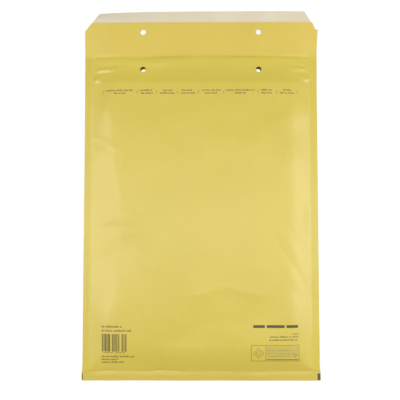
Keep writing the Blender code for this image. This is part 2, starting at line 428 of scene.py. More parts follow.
# %% Grid lines and flat grids
def lines_between(low, high, step, close_to=(), close_step=0.8 * mm, reach=5 * mm):
    """Evenly spaced lines, with closer ones beside each value in close_to, and its line itself."""
    lines = [low]
    marks = sorted(v for v in list(close_to) + [high] if low < v <= high)
    for mark in marks:
        while mark - lines[-1] > 1e-9:
            gap = min([abs(lines[-1] - v) for v in close_to] + [reach * 2])
            stride = close_step + (step - close_step) * min(gap / reach, 1)
            if mark - lines[-1] < 1.5 * stride:
                lines.append(mark)
            else:
                lines.append(lines[-1] + stride)
    return lines


def flat_grid(columns, rows):
    """A flat grid whose lines lie at the given x and y."""
    mesh_edit = bmesh.new()
    across, along = len(columns) - 1, len(rows) - 1
    bmesh.ops.create_grid(mesh_edit, x_segments=across, y_segments=along, size=1.0)
    for vert in mesh_edit.verts:
        vert.co.x = columns[round((vert.co.x + 1) / 2 * across)]
        vert.co.y = rows[round((vert.co.y + 1) / 2 * along)]
    return mesh_edit


# %% [markdown]
# Punched holes and cut corners
#
# Flap and body are punched with two holes each, which would take paper fasteners. A Boolean would
# cut them too, but it leaves long thin triangles around them, which shade badly. Here the cells
# around a hole are taken out, and the gap is bridged to a true circle, so that the faces stay even.
# A corner of the flap is one straight cut, and a bisecting plane makes it.

# %% Punch and cut
hole_radius = 3 * mm
hole_margin = 1.2 * mm


def hole_lines(centres, low, high):
    """Grid lines that frame each hole with a square, where they fall on the sheet."""
    lines = [c + side * (hole_radius + hole_margin) for c in centres for side in (-1, 1)]
    return [v for v in lines if low < v < high]


def punch(mesh_edit, x, y):
    """Cuts a round hole: the cells in its square give way to a ring of faces that ends in a circle."""
    reach = hole_radius + hole_margin
    near = {f for f in mesh_edit.faces
            if max(abs(f.calc_center_median().x - x), abs(f.calc_center_median().y - y)) < reach}
    rim = [e for f in near for e in f.edges if len(near.intersection(e.link_faces)) == 1]
    ring = {v for e in rim for v in e.verts}
    bmesh.ops.delete(mesh_edit, geom=list(near), context="FACES")
    by_angle = sorted(ring, key=lambda v: math.atan2(v.co.y - y, v.co.x - x))
    circle = []
    for vert in by_angle:
        angle = math.atan2(vert.co.y - y, vert.co.x - x)
        edge_x, edge_y = x + hole_radius * math.cos(angle), y + hole_radius * math.sin(angle)
        circle.append(mesh_edit.verts.new((edge_x, edge_y, 0)))
    count = len(by_angle)
    for i in range(count):
        j = (i + 1) % count
        mesh_edit.faces.new((by_angle[i], by_angle[j], circle[j], circle[i]))


def cut_corner(mesh_edit, start, end, near):
    """Cuts off what lies to the left of the line from start to end, above its lower end."""
    foot = min(start[1], end[1])
    faces = [f for f in mesh_edit.faces if f.calc_center_median().y > foot
             and (f.calc_center_median().xy - Vector(start)).length < near]
    edges, verts = (e for f in faces for e in f.edges), (v for f in faces for v in f.verts)
    parts = dict.fromkeys([*faces, *edges, *verts])
    outward = Vector((-(end[1] - start[1]), end[0] - start[0], 0)).normalized()
    bmesh.ops.bisect_plane(
        mesh_edit, geom=list(parts), plane_co=(*start, 0), plane_no=outward, clear_outer=True)


# %% [markdown]
# From a flat grid to a finished piece
#
# Each sheet then goes the same way: the grid becomes a mesh, all its points are lifted at once, it
# may be joined with another one, and an object with modifiers finishes it. The modifiers could stay
# live, but then the export would work them out again, so `settle` keeps their result as a plain
# mesh. It is smooth but for the edges that are truly sharp.

# %% Mesh, lift, mark, join and settle
def new_mesh(name, mesh_edit):
    mesh = bpy.data.meshes.new(name)
    bmesh.ops.recalc_face_normals(mesh_edit, faces=mesh_edit.faces[:])
    mesh_edit.to_mesh(mesh)
    mesh_edit.free()
    return mesh


def points_of(mesh):
    points = np.empty(len(mesh.vertices) * 3)
    mesh.vertices.foreach_get("co", points)
    return points.reshape(-1, 3)


def lift(mesh, place):
    """Moves every point of a flat mesh to where place(x, y) says."""
    points = points_of(mesh)
    moved = np.column_stack(place(points[:, 0].copy(), points[:, 1].copy()))
    mesh.vertices.foreach_set("co", moved.ravel())
    mesh.update()


def mark(mesh, name, share):
    """Stores share(x, y) at every point, as an attribute that materials and node trees can read."""
    points = points_of(mesh)
    values = share(points[:, 0], points[:, 1])
    mesh.attributes.new(name, "FLOAT", "POINT").data.foreach_set("value", values)
    print(mesh.name, "attribute", name, "mean:", round(float(values.mean()), 4))


def joined_mesh(name, meshes, weld=0.0):
    """One mesh out of several. Points closer than weld become one."""
    mesh_edit = bmesh.new()
    for part in meshes:
        mesh_edit.from_mesh(part)
    if weld:
        bmesh.ops.remove_doubles(mesh_edit, verts=mesh_edit.verts[:], dist=weld)
    mesh = bpy.data.meshes.new(name)
    mesh_edit.to_mesh(mesh)
    mesh_edit.free()
    return mesh


def add_piece(name, mesh, material):
    piece = bpy.data.objects.new(name, mesh)
    bpy.context.scene.collection.objects.link(piece)
    mesh.materials.clear()
    mesh.materials.append(material)
    return piece


def settle(piece, sharp_degrees=50):
    """Turns the piece with its modifiers into a plain mesh, smooth but for its true edges."""
    graph = bpy.context.evaluated_depsgraph_get()
    mesh = bpy.data.meshes.new_from_object(piece.evaluated_get(graph))
    piece.modifiers.clear()
    piece.data = mesh
    mesh.shade_smooth()
    mesh.set_sharp_from_angle(angle=math.radians(sharp_degrees))
    mesh.calc_loop_triangles()
    print(piece.name, "triangles:", len(mesh.loop_triangles))
    return piece


# %% [markdown]
# Colours and nodes
#
# Colours are picked as sRGB hex values, which is how a screen shows them, but Blender's shaders
# work with linear light. One function turns the first into the second. Another one adds a node
# with its settings and links in a single call, which keeps a material readable from top to bottom.
# Some sockets share a name, so they are given by number. A Mix node for colours has its share at 0,
# its colours at 6 and 7 and its result at output 2. A Map Range node takes the range from 1 to 2
# and turns it into the range from 3 to 4.

# %% Colour, node and material
def colour(hex_value):
    shares = [int(hex_value[i:i + 2], 16) / 255 for i in (0, 2, 4)]
    return [s / 12.92 if s <= 0.04045 else ((s + 0.055) / 1.055) ** 2.4 for s in shares] + [1.0]


def add_node(tree, kind, inputs=None, **settings):
    """Adds a node. inputs maps a socket's name or number to a value or to another node's output."""
    node = tree.nodes.new(kind)
    for name, value in settings.items():
        setattr(node, name, value)
    for key, value in (inputs or {}).items():
        if isinstance(value, bpy.types.NodeSocket):
            tree.links.new(value, node.inputs[key])
        else:
            node.inputs[key].default_value = value
    return node


def new_material(name):
    material = bpy.data.materials.new(name)
    material.use_nodes = True
    print("material:", name)
    return material, material.node_tree, material.node_tree.nodes["Principled BSDF"]


# %% [markdown]
# Kraft paper: its colour
#
# Machine-glazed kraft is pulp that was dried against a polished drum. The long fibres show as faint
# streaks and darker flecks. It is thin, so white film behind it makes it paler, and so does the pale
# liner behind the flap's tip; where two sheets are sealed it is deeper. The paler tone covers the
# whole flap from the mouth up, and past the liner it is painted light. The left side band takes more
# of the deeper sealed tone than the right, which is painted shade. A photo of paper could be wrapped
# on, but it would repeat or blur. Noise nodes give the fibres at their true size. No node knows what
# lies behind the paper, so three point attributes, `on_film`, `on_liner` and `sealed`,
# are carried by the mesh.

# %% Tone of the kraft paper
def kraft_tone(tree, place, run, fibre):
    """What lies behind the sheet, with painted light over the flap and painted shade on the left side band,
    then its clouds, streaks and flecks.
    """
    on_film, on_liner, sealed = (
        add_node(tree, "ShaderNodeAttribute", attribute_name=name).outputs["Fac"]
        for name in ("on_film", "on_liner", "sealed"))
    # A single sheet, and the deeper sealed tone; the left side band takes more of it than the right, which
    # is painted shade
    single = add_node(tree, "ShaderNodeMix", {0: sealed, 6: colour("D4C04D"), 7: colour("CFB94C")},
                      data_type="RGBA")
    # The paler flap tone: real over the liner at the flap's tip, painted light over the rest of the flap
    flap = add_node(tree, "ShaderNodeMix", {0: on_liner, 6: single.outputs[2], 7: colour("DCC358")},
                    data_type="RGBA")
    base = add_node(tree, "ShaderNodeMix", {0: on_film, 6: flap.outputs[2], 7: colour("D4BF4F")},
                    data_type="RGBA")
    # Broad clouds of tone, some 60 mm across, as the sheet formed unevenly on the wire
    cloud = add_node(tree, "ShaderNodeTexNoise", {"Vector": place, "Scale": 1 / (60 * mm), "Detail": 2.0})
    cloudy = add_node(tree, "ShaderNodeMapRange", {
        "Value": cloud.outputs["Fac"], 1: 0.3, 2: 0.7, 3: 0.98, 4: 1.02})
    toned = add_node(tree, "ShaderNodeVectorMath", {0: base.outputs[2], 1: cloudy.outputs[0]},
                     operation="MULTIPLY")
    streak = add_node(tree, "ShaderNodeMapRange", {"Value": fibre, 1: 0.3, 2: 0.7, 3: 0.975, 4: 1.025})
    streaked = add_node(tree, "ShaderNodeVectorMath", {0: toned.outputs[0], 1: streak.outputs[0]},
                        operation="MULTIPLY")
    # Dark flecks of bark and unbleached fibre, about 1 mm
    fleck = add_node(tree, "ShaderNodeTexVoronoi", {"Vector": run, "Scale": 1 / (2.2 * mm)})
    spot = add_node(tree, "ShaderNodeMapRange", {
        "Value": fleck.outputs["Distance"], 1: 0.05, 2: 0.14, 3: 0.12, 4: 0.0})
    flecked = add_node(tree, "ShaderNodeMix", {
        0: spot.outputs[0], 6: streaked.outputs[0], 7: colour("8A7431")}, data_type="RGBA")
    return flecked.outputs[2]


# %% [markdown]
# Kraft paper: its shine and grain
#
# The drum side is satin: a soft broad shine. One plain roughness would look like plastic, so noise
# lets it vary by the size of the fibre flocks. Paper that is pulled tight over an edge loses its
# fine waviness and shines more, which a fourth attribute, `taut`, tells. Two bump nodes give the
# fibres and the cockle, the slight waves that paper dries with. They are too low for real geometry.

# %% Shine, grain and the whole material
def kraft_shine(tree, place):
    """Roughness that varies over flocks of fibres about 3 mm wide, and is lower where paper is taut."""
    flock = add_node(tree, "ShaderNodeTexNoise", {"Vector": place, "Scale": 1 / (3 * mm), "Detail": 2.0})
    rough = add_node(tree, "ShaderNodeMapRange", {
        "Value": flock.outputs["Fac"], 1: 0.3, 2: 0.7, 3: 0.30, 4: 0.38})
    tight = add_node(tree, "ShaderNodeAttribute", attribute_name="taut").outputs["Fac"]
    polish = add_node(tree, "ShaderNodeMapRange", {"Value": tight, 3: 1.0, 4: 0.6})
    finish = add_node(tree, "ShaderNodeMath", {0: rough.outputs[0], 1: polish.outputs[0]},
                      operation="MULTIPLY")
    return finish.outputs[0]


def kraft_grain(tree, place, fibre):
    """Fibres 0.03 mm high, and cockle in waves of about 9 mm."""
    grain = add_node(tree, "ShaderNodeBump", {"Height": fibre, "Strength": 0.25, "Distance": 0.03 * mm})
    cockle = add_node(tree, "ShaderNodeTexNoise", {"Vector": place, "Scale": 1 / (9 * mm), "Detail": 2.0})
    soft = add_node(tree, "ShaderNodeBump", {
        "Height": cockle.outputs["Fac"], "Strength": 0.5, "Distance": 0.12 * mm, "Normal": grain.outputs[0]})
    return soft.outputs[0]


def kraft_paper():
    material, tree, shader = new_material("machine_glazed_kraft_paper")
    place = add_node(tree, "ShaderNodeTexCoord").outputs["Object"]
    # Fibres lie along the machine's run: streaks 0.7 mm wide and four times as long
    run = add_node(tree, "ShaderNodeMapping", {"Vector": place, "Scale": (0.25, 1.0, 1.0)}).outputs[0]
    fibre = add_node(tree, "ShaderNodeTexNoise", {
        "Vector": run, "Scale": 1 / (0.7 * mm), "Detail": 3.0}).outputs["Fac"]
    tree.links.new(kraft_tone(tree, place, run, fibre), shader.inputs["Base Color"])
    tree.links.new(kraft_shine(tree, place), shader.inputs["Roughness"])
    tree.links.new(kraft_grain(tree, place, fibre), shader.inputs["Normal"])
    shader.inputs["IOR"].default_value = 1.5
    shader.inputs["Specular IOR Level"].default_value = 0.6
    return material


kraft = kraft_paper()

# %% [markdown]
# The envelope of kraft paper: its two grids
#
# Front panel and flap are one sheet, and a second sheet closes the back. One could model the bag as
# a block and hollow it, but paper has one even thickness, so two thin grids are closer to the real
# thing. The rear grid shares the front's lines, so that the two can be welded point by point where
# they are sealed. Holes and corners are cut while the grids are flat.

# %% Grids of the front and the rear
hole_x = 62 * mm
hole_to_fold = 20.4 * mm
left_cut = (7.4 * mm, 9.3 * mm)
right_cut = (3.6 * mm, 7.5 * mm)
right_step = 2.5 * mm
hole_rows = (fold_line + hole_to_fold, fold_line - hole_to_fold)
column_step, row_step = 2.6 * mm, 2.8 * mm
line_tolerance = 1e-7

upright_lines = [-seam_side, seam_side, half_width - right_step,
                 *hole_lines((-hole_x, hole_x), -half_width, half_width)]
cross_lines = [mouth_edge, seam_bottom, seam_bottom - 2 * mm, lining_edge,
               flap_edge - left_cut[1], flap_edge - right_cut[1],
               *hole_lines(hole_rows, bottom_edge, flap_edge)]
columns = lines_between(-half_width, half_width, column_step, upright_lines, close_step=1.0 * mm)
rows = lines_between(bottom_edge, flap_edge, row_step, cross_lines, close_step=0.5 * mm)
front = flat_grid(columns, rows)
rear = flat_grid([x for x in columns if abs(x) <= seam_side + line_tolerance],
                 [y for y in rows if seam_bottom - line_tolerance <= y <= mouth_edge + line_tolerance])
for side in (-hole_x, hole_x):
    punch(front, side, hole_rows[0])
    punch(front, side, hole_rows[1])
    punch(rear, side, hole_rows[1])
print("lines of the front's grid:", len(columns), "x", len(rows))

# %% Corners of the flap
corner_reach = 16 * mm
step_x, step_y = half_width - right_step, flap_edge - right_cut[1]
stepped = [f for f in front.faces
           if f.calc_center_median().x > step_x and f.calc_center_median().y > step_y]
bmesh.ops.delete(front, geom=stepped, context="FACES")
left_foot = (-half_width, flap_edge - left_cut[1])
cut_corner(front, left_foot, (-half_width + left_cut[0], flap_edge), corner_reach)
cut_corner(front, (step_x - right_cut[0], flap_edge), (step_x, step_y), corner_reach)
print("faces of the front:", len(front.faces))

# %% [markdown]
# Lift, weld and mark the paper
#
# Both grids are lifted to their heights and welded. Front and rear have the same heights in the
# sealed bands, so a weld of a tenth of the paper's thickness catches every pair there and nothing
# else. The four attributes that the kraft material reads are then worked out from the same lines
# that shaped the paper, so colour and shape can't drift apart.

# %% Lift and weld
front_mesh = new_mesh("front", front)
lift(front_mesh, lambda x, y: (drawn_in(x, y), y, front_height(x, y)))
rear_mesh = new_mesh("rear", rear)
lift(rear_mesh, lambda x, y: (drawn_in(x, y), y, rear_height(x, y)))
kraft_mesh = joined_mesh("kraft_paper_envelope", (front_mesh, rear_mesh), weld=paper / 10)
welded = len(front_mesh.vertices) + len(rear_mesh.vertices) - len(kraft_mesh.vertices)
print("points of front and rear welded into one:", welded)

# %% What lies behind the paper, painted light and shade, and where it is taut
# Where the paper is pulled tight over the lining's corners and out from the seams (millimetres)
taut_spots = [((-104, 132), (8, 2.4)), ((-92, 133.6), (6, 2.0)), ((107, 133), (9, 2.2)),
              ((-112, 121), (3.4, 3.2)), ((113.4, 122.4), (3.4, 3.6))]


def film_behind(x, y):
    return np.clip(body_swell(x, y) * 6, 0, 1) * np.clip((lining_edge - y) / (5 * mm), 0, 1)


# The paler flap tone, from just above the mouth to the tip: the liner lies only behind the tip, so the rest
# is painted light
def liner_and_painted_light_share(x, y):
    return np.clip((y - mouth_edge) / (4 * mm), 0, 1)


def sealed_band_and_left_shade(x, y):
    """1 where front and rear are glued to each other, less where film is caught between them. The left side
    band takes more than the right, which is painted shade.
    """
    # The left side band takes more of the deeper sealed tone than the right, which is painted shade
    at_sides = np.where(x < 0, 0.6, 0.1) * (np.abs(x) > seam_side) * (y < mouth_edge)
    return np.where(y < seam_bottom, 1.0, at_sides)


def taut(x, y):
    return np.clip(sum(hill(x / mm, y / mm, centre, reach, 1.0) for centre, reach in taut_spots), 0, 1)


for name, share in (("on_film", film_behind), ("on_liner", liner_and_painted_light_share),
                    ("sealed", sealed_band_and_left_shade), ("taut", taut)):
    mark(kraft_mesh, name, share)

# %% [markdown]
# The paper's thickness
#
# Up to here the paper has no thickness. Extruding each sheet would make them cross where they part.
# Solidify in its complex mode gives the parted surface one even thickness, also along the seams,
# where three sheets meet, and closes every cut edge.

# %% Thicken the paper
envelope = add_piece("kraft_paper_envelope", kraft_mesh, kraft)
shell = envelope.modifiers.new("thickness", "SOLIDIFY")
shell.solidify_mode = "NON_MANIFOLD"
shell.nonmanifold_thickness_mode = "CONSTRAINTS"
shell.thickness = paper
shell.offset = 0
settle(envelope)

# %% [markdown]
# Hot-melt adhesive
#
# The strip that closes the flap is a film of tacky hot melt, amber and glossy. A slot nozzle lays it
# down with faint lines along the strip, about 1.5 mm apart. A wave texture would draw them too
# evenly, so noise that is stretched along X does it, in colour, shine and bump alike. The IOR is
# that of the resins in the glue.

# %% Adhesive material
def hot_melt():
    material, tree, shader = new_material("tacky_hot_melt_film")
    place = add_node(tree, "ShaderNodeTexCoord").outputs["Object"]
    run = add_node(tree, "ShaderNodeMapping", {"Vector": place, "Scale": (0.05, 1.0, 1.0)})
    lines = add_node(tree, "ShaderNodeTexNoise", {
        "Vector": run.outputs[0], "Scale": 1 / (1.5 * mm), "Detail": 1.0})
    tone = add_node(tree, "ShaderNodeMix", {
        0: lines.outputs["Fac"], 6: colour("DCCB93"), 7: colour("EDE3BE")}, data_type="RGBA")
    tree.links.new(tone.outputs[2], shader.inputs["Base Color"])
    rough = add_node(tree, "ShaderNodeMapRange", {"Value": lines.outputs["Fac"], 3: 0.16, 4: 0.30})
    tree.links.new(rough.outputs[0], shader.inputs["Roughness"])
    shader.inputs["IOR"].default_value = 1.49
    ridged = add_node(tree, "ShaderNodeBump", {
        "Height": lines.outputs["Fac"], "Strength": 0.4, "Distance": 0.04 * mm})
    tree.links.new(ridged.outputs[0], shader.inputs["Normal"])
    return material


glue = hot_melt()

# %% [markdown]
# Release paper
#
# The liner is cream paper with a baked silicone coat, so that the adhesive lets go of it. The coat
# has a low IOR and lies evenly, so it is smoother and calmer than kraft. One flat colour would look
# like a plastic sheet, and two sizes of noise are enough against that: clouds of about 35 mm and
# fibres of about 1 mm.

# %% Release paper material
def silicone_paper():
    material, tree, shader = new_material("silicone_coated_release_paper")
    place = add_node(tree, "ShaderNodeTexCoord").outputs["Object"]
    cloud = add_node(tree, "ShaderNodeTexNoise", {"Vector": place, "Scale": 1 / (35 * mm), "Detail": 2.0})
    fibre = add_node(tree, "ShaderNodeTexNoise", {"Vector": place, "Scale": 1 / (1.2 * mm), "Detail": 3.0})
    blend = add_node(tree, "ShaderNodeMath", {0: cloud.outputs["Fac"], 1: fibre.outputs["Fac"]},
                     operation="MULTIPLY")
    toned = add_node(tree, "ShaderNodeMapRange", {"Value": blend.outputs[0], 1: 0.12, 2: 0.40})
    tone = add_node(tree, "ShaderNodeMix", {0: toned.outputs[0], 6: colour("DCD0B5"), 7: colour("E5DBC1")},
                    data_type="RGBA")
    tree.links.new(tone.outputs[2], shader.inputs["Base Color"])
    rough = add_node(tree, "ShaderNodeMapRange", {
        "Value": fibre.outputs["Fac"], 1: 0.3, 2: 0.7, 3: 0.34, 4: 0.42})
    tree.links.new(rough.outputs[0], shader.inputs["Roughness"])
    shader.inputs["IOR"].default_value = 1.43
    grain = add_node(tree, "ShaderNodeBump", {
        "Height": fibre.outputs["Fac"], "Strength": 0.2, "Distance": 0.02 * mm})
    tree.links.new(grain.outputs[0], shader.inputs["Normal"])
    return material


release_paper = silicone_paper()

# %% [markdown]
# Roll of the liner
#
# The liner sticks out past the flap as a finger-lift, and such a strip never lies flat: its free
# edge rolls down, most at the left end. A bend modifier could do it, but not with a bend that fades
# along the strip. A short formula can, because the roll is an arc: a strip of length L that turns
# by an angle a has the radius L / a, reaches out by L * sin(a) / a and drops by L * (1 - cos(a)) / a.

# %% Where strip and liner lie
liner_paper = 0.15 * mm
clearance = 0.3 * mm
end_roll, least_roll = 0.80, 0.02
roll_fade = 38 * mm
edge_wave = 0.12 * mm


def under_flap(x, y, depth):
    """Height of something that lies against the flap's inner face, a depth below it."""
    return front_height(x, y) - paper / 2 - clearance - depth


def liner_place(x, y):
    """Where a point of the flat liner goes once its free edge has rolled down."""
    past = np.clip(y - flap_edge, 0, None)
    angle = end_roll * np.exp(-(x - liner_low.x) / roll_fade) + least_roll
    radius = overhang / angle
    turned = past / radius
    rolled_y = np.where(past > 0, flap_edge + radius * np.sin(turned), y)
    start = under_flap(x, np.minimum(y, flap_edge), liner_paper * 1.5 + clearance)
    rolled_z = start - radius * (1 - np.cos(turned))
    wave = edge_wave * np.sin(x / (31 * mm)) * past / overhang
    return x, rolled_y, rolled_z + wave


print("left end of the liner rolls by, degrees:", round(math.degrees(end_roll + least_roll)))

# %% [markdown]
# Adhesive and liner
#
# Both are strips with the flap's two holes in them, made just as the paper was: a flat grid, cut,
# lifted and thickened. One function makes either. A plain Solidify is enough here, because each is a
# single sheet.

# %% Build the two strips
liner_cut = 7.6 * mm


def strip(name, low, high, step, corners, place, thickness, material):
    upright = hole_lines((-hole_x, hole_x), low[0], high[0])
    cross = [flap_edge, *hole_lines(hole_rows[:1], low[1], high[1])]
    strip_columns = lines_between(low[0], high[0], step, upright)
    mesh_edit = flat_grid(strip_columns, lines_between(low[1], high[1], step, cross))
    for side in (-hole_x, hole_x):
        punch(mesh_edit, side, hole_rows[0])
    for start, end in corners:
        cut_corner(mesh_edit, start, end, corner_reach)
    mesh = new_mesh(name, mesh_edit)
    lift(mesh, place)
    piece = add_piece(name, mesh, material)
    wall = piece.modifiers.new("thickness", "SOLIDIFY")
    wall.thickness = thickness
    wall.offset = 0
    return settle(piece)


# The real liner reaches a little past the ends of the plain solid, more at the right
past_left, past_right = 0.7 * mm, 1.5 * mm
liner_left, liner_right = liner_low.x - past_left, liner_high.x + past_right
liner_top = liner_high.y
corners = [((liner_left, flap_edge), (liner_left + liner_cut, liner_top)),
           ((liner_right - liner_cut, liner_top), (liner_right, flap_edge))]
liner = strip("release_liner_strip", (liner_left, liner_low.y), (liner_right, liner_top), 1.9 * mm,
              corners, liner_place, liner_paper, release_paper)
adhesive = strip("hot_melt_strip", glue_low, glue_high, 2.2 * mm, [],
                 lambda x, y: (x, y, under_flap(x, y, liner_paper / 2)), liner_paper, glue)

# %% [markdown]
# Bubble film
#
# The lining is clear soft polythene. A transparent shader would be faster, but it has no thickness
# and no glint, so this is mostly transmission, with the IOR of polythene. Blown film is never quite
# even: a noise of about 4 mm gives it a slight haze and faint creases.

# %% Film material
def bubble_polythene():
    material, tree, shader = new_material("clear_bubble_polythene")
    shader.inputs["Base Color"].default_value = colour("EEF1EE")
    shader.inputs["IOR"].default_value = 1.51
    shader.inputs["Transmission Weight"].default_value = 0.75
    place = add_node(tree, "ShaderNodeTexCoord").outputs["Object"]
    haze = add_node(tree, "ShaderNodeTexNoise", {"Vector": place, "Scale": 1 / (4 * mm), "Detail": 3.0})
    rough = add_node(tree, "ShaderNodeMapRange", {
        "Value": haze.outputs["Fac"], 1: 0.3, 2: 0.7, 3: 0.16, 4: 0.30})
    tree.links.new(rough.outputs[0], shader.inputs["Roughness"])
    creased = add_node(tree, "ShaderNodeBump", {
        "Height": haze.outputs["Fac"], "Strength": 0.5, "Distance": 0.1 * mm})
    tree.links.new(creased.outputs[0], shader.inputs["Normal"])
    return material


film = bubble_polythene()

# %% [markdown]
# The two layers of the lining
#
# Bubble film is a flat film with a second, blistered one welded on it. The smooth side faces the
# goods and the blisters face the paper. The flat films are two wide sheets with the pocket between
# them. Their heights come from the paper's, less the film's thickness, and near the seams they meet
# in the middle. An attribute, `room`, tells how high a blister can stand at each point.

# %% Flat films
film_thickness = 3.2 * mm
least_pocket = 0.5 * mm
film_sheet = 0.1 * mm
film_step = 5 * mm


def lining_top(x, y):
    return front_height(x, np.minimum(y, lining_edge)) - paper / 2 - clearance


def lining_under(x, y):
    return rear_height(x, np.minimum(y, lining_edge)) + paper / 2 + clearance


def middle_of_lining(x, y):
    return (lining_top(x, y) + lining_under(x, y)) / 2


def sleeve_top(x, y):
    return np.maximum(lining_top(x, y) - film_thickness, middle_of_lining(x, y) + least_pocket / 2)


def sleeve_under(x, y):
    return np.minimum(lining_under(x, y) + film_thickness, middle_of_lining(x, y) - least_pocket / 2)


def film_layer(name, height, room):
    sheet = flat_grid(lines_between(film_low.x, film_high.x, film_step),
                      lines_between(film_low.y, film_high.y, film_step))
    mesh = new_mesh(name, sheet)
    lift(mesh, lambda x, y: (x, y, height(x, y)))
    mark(mesh, "room", room)
    piece = add_piece(name, mesh, film)
    wall = piece.modifiers.new("thickness", "SOLIDIFY")
    wall.thickness = film_sheet
    wall.offset = 0
    return piece


# %% [markdown]
# Geometry Nodes with named inputs
#
# More than a thousand blisters repeat on the film, and the print has hundreds of small marks. An
# Array modifier can't lay them on a curved sheet, and a loop would hide the rule in numbers. Geometry
# Nodes keep the rule in one tree, with named inputs for its sizes. Blender stores a modifier's input
# under an identifier, not under the name, so `set_inputs` looks it up.

# %% Helpers for node trees
def new_tree(name, inputs):
    """A tree with the given inputs and one geometry output. Also returns the inputs' sockets."""
    tree = bpy.data.node_groups.new(name, "GeometryNodeTree")
    for label, kind in inputs:
        tree.interface.new_socket(label, in_out="INPUT", socket_type="NodeSocket" + kind)
    tree.interface.new_socket("Geometry", in_out="OUTPUT", socket_type="NodeSocketGeometry")
    return tree, add_node(tree, "NodeGroupInput").outputs


def set_inputs(modifier, values):
    """Sets a Geometry Nodes modifier's inputs: the tree's socket names lead to their identifiers."""
    for item in modifier.node_group.interface.items_tree:
        if item.item_type == "SOCKET" and item.in_out == "INPUT" and item.name in values:
            modifier[item.identifier] = values[item.name]


# %% [markdown]
# Places for the blisters
#
# A ray cast down on the film tells each point where the film lies, and reads `room` there. The ray
# is a field: each geometry that uses it casts it from its own points. A grid of points gives the
# lattice, with every second row shifted by half a pitch, as real bubbles are packed. Points with
# too little room for a blister are deleted.

# %% Ray and lattice
def ray_to_film(tree, given):
    """Where a ray down from each point hits the film, and the room at that place."""
    spot = add_node(tree, "GeometryNodeInputPosition").outputs[0]
    above = add_node(tree, "ShaderNodeVectorMath", {0: spot, 1: (0, 0, 2.0)}, operation="ADD")
    room = add_node(tree, "GeometryNodeInputNamedAttribute", {"Name": "room"}, data_type="FLOAT")
    return add_node(tree, "GeometryNodeRaycast", {
        "Target Geometry": given["Film"], "Attribute": room.outputs["Attribute"],
        "Source Position": above.outputs[0], "Ray Direction": (0, 0, -1), "Ray Length": 4.0},
        data_type="FLOAT", mapping="INTERPOLATED").outputs


def staggered_lattice(tree, given, hit):
    lattice = add_node(tree, "GeometryNodeMeshGrid", {
        "Size X": given["Width"], "Size Y": given["Length"],
        "Vertices X": given["Columns"], "Vertices Y": given["Rows"]})
    index = add_node(tree, "GeometryNodeInputIndex").outputs[0]
    row = add_node(tree, "ShaderNodeMath", {0: index, 1: given["Rows"]}, operation="MODULO")
    odd = add_node(tree, "ShaderNodeMath", {0: row.outputs[0], 1: 2.0}, operation="MODULO")
    sideways = add_node(tree, "ShaderNodeMath", {0: odd.outputs[0], 1: given["Shift"]},
                        operation="MULTIPLY")
    offset = add_node(tree, "ShaderNodeCombineXYZ", {"X": sideways.outputs[0], "Y": given["Centre Y"]})
    staggered = add_node(tree, "GeometryNodeSetPosition", {
        "Geometry": lattice.outputs["Mesh"], "Offset": offset.outputs[0]})
    tight = add_node(tree, "ShaderNodeMath", {0: hit["Attribute"], 1: given["Least Room"]},
                     operation="LESS_THAN")
    kept = add_node(tree, "GeometryNodeDeleteGeometry", {
        "Geometry": staggered.outputs[0], "Selection": tight.outputs[0]}, domain="POINT")
    return kept.outputs[0]


# %% [markdown]
# One blister, and how it stands on the film
#
# A blister has straight flanks, a round shoulder and a flat top. It repeats a thousand times, so it
# has only ten sides: a cone node with equal radii makes it, and its upper rings are drawn in. It is
# 1 m high for now, so that its height is a share: once the copies are real, each point goes to that
# share of the room over the film. On the rear layer blisters grow downwards, which turns them
# inside out, so their faces are flipped back.

# %% Blister and its stand
def low_blister(tree, given):
    blister = add_node(tree, "GeometryNodeMeshCone", {
        "Vertices": 10, "Side Segments": 3, "Depth": 1.0,
        "Radius Top": given["Radius"], "Radius Bottom": given["Radius"]})
    spot = add_node(tree, "GeometryNodeInputPosition").outputs[0]
    share = add_node(tree, "ShaderNodeSeparateXYZ", {0: spot}).outputs["Z"]
    shrink = add_node(tree, "ShaderNodeMapRange", {"Value": share, 1: 0.4, 2: 1.0, 3: 1.0, 4: 0.62},
                      interpolation_type="SMOOTHSTEP")
    narrow = add_node(tree, "ShaderNodeCombineXYZ", {
        "X": shrink.outputs[0], "Y": shrink.outputs[0], "Z": 1.0})
    domed = add_node(tree, "ShaderNodeVectorMath", {0: spot, 1: narrow.outputs[0]}, operation="MULTIPLY")
    return add_node(tree, "GeometryNodeSetPosition", {
        "Geometry": blister.outputs["Mesh"], "Position": domed.outputs[0]}).outputs[0]


def stood_on_film(tree, given, hit, blisters):
    spot = add_node(tree, "GeometryNodeInputPosition").outputs[0]
    own = add_node(tree, "ShaderNodeSeparateXYZ", {0: spot}).outputs
    rise = add_node(tree, "ShaderNodeMath", {0: own["Z"], 1: hit["Attribute"]}, operation="MULTIPLY")
    film_place = add_node(tree, "ShaderNodeSeparateXYZ", {0: hit["Hit Position"]}).outputs
    height = add_node(tree, "ShaderNodeMath", {0: rise.outputs[0], 1: given["Side"], 2: film_place["Z"]},
                      operation="MULTIPLY_ADD")
    final = add_node(tree, "ShaderNodeCombineXYZ", {"X": own["X"], "Y": own["Y"], "Z": height.outputs[0]})
    draped = add_node(tree, "GeometryNodeSetPosition", {"Geometry": blisters, "Position": final.outputs[0]})
    downwards = add_node(tree, "ShaderNodeMath", {0: given["Side"], 1: 0.0}, operation="LESS_THAN")
    return add_node(tree, "GeometryNodeFlipFaces", {
        "Mesh": draped.outputs[0], "Selection": downwards.outputs[0]}).outputs[0]


# %% [markdown]
# The whole bubble tree
#
# The parts above are put together in the order of the work: lattice, copies, real geometry, the
# stand on the film, and the flat film itself. The copies are made real, because the export drops
# instances, and the tree ends by setting the material, because new geometry has none.

